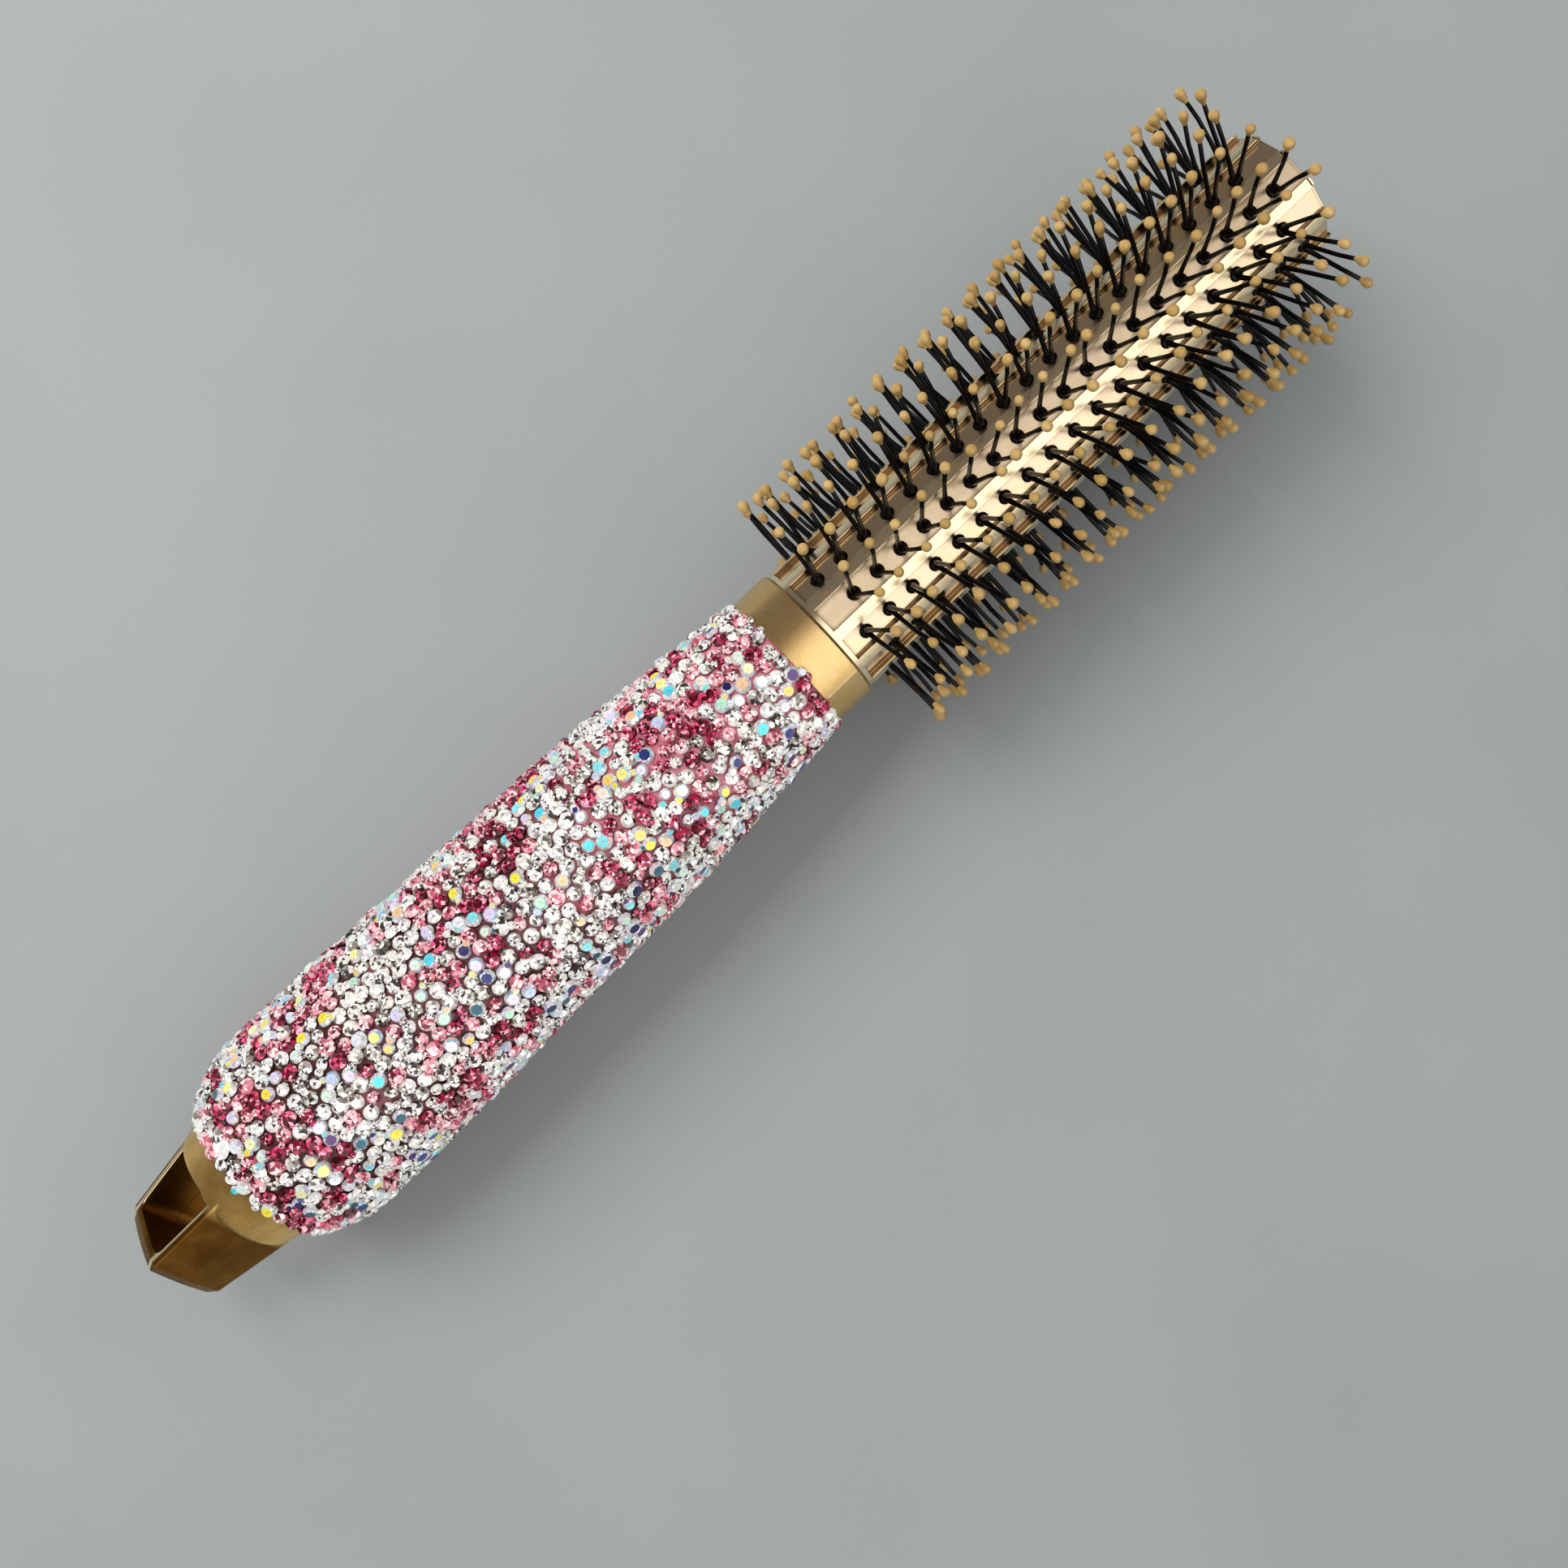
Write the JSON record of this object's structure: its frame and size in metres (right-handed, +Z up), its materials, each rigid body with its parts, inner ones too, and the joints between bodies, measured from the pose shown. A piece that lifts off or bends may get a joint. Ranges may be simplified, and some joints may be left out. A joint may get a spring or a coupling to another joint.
{
  "type": "round hair brush",
  "caption": "Round styling hair brush with a ribbed plated barrel, ball-tipped bristles, a stone-covered grip and a hanging loop.",
  "frame": {"origin": "centre of the flat tip face, on the brush axis", "axes": "+X along the brush axis towards the free end of the barrel, +Z up as the brush lies"},
  "size_m": [0.2376, 0.047, 0.047],
  "materials": {
    "barrel_plating": "glossy champagne gold plating",
    "handle_gold": "satin gold lacquer with fine metallic fleck",
    "adhesive": "satin pink adhesive",
    "crystal": "clear foil-backed faceted crystal",
    "aurora": "iridescent foil-backed faceted crystal",
    "light_rose": "light rose foil-backed faceted crystal",
    "deep_rose": "deep rose foil-backed faceted crystal",
    "bristle_black": "black nylon filament",
    "ball_amber": "amber resin",
    "anchor_steel": "flat wire"
  },
  "bodies": {
    "root": {"barrel": "barrel_plating", "barrel_end_cap": "barrel_plating", "handle_front_half": "handle_gold", "handle_back_half": "handle_gold", "adhesive_layer": "adhesive", "crystal_stones": "crystal", "aurora_stones": "aurora", "light_rose_stones": "light_rose", "deep_rose_stones": "deep_rose", "tuft_anchors": "anchor_steel", "bristle_row_01": "bristle_black", "bristle_row_02": "bristle_black", "bristle_row_03": "bristle_black", "bristle_row_04": "bristle_black", "bristle_row_05": "bristle_black", "bristle_row_06": "bristle_black", "bristle_row_07": "bristle_black", "bristle_row_08": "bristle_black", "bristle_row_09": "bristle_black", "bristle_row_10": "bristle_black", "bristle_row_11": "bristle_black", "bristle_row_12": "bristle_black", "ball_tips_row_01": "ball_amber", "ball_tips_row_02": "ball_amber", "ball_tips_row_03": "ball_amber", "ball_tips_row_04": "ball_amber", "ball_tips_row_05": "ball_amber", "ball_tips_row_06": "ball_amber", "ball_tips_row_07": "ball_amber", "ball_tips_row_08": "ball_amber", "ball_tips_row_09": "ball_amber", "ball_tips_row_10": "ball_amber", "ball_tips_row_11": "ball_amber", "ball_tips_row_12": "ball_amber"}
  },
  "joints": []
}
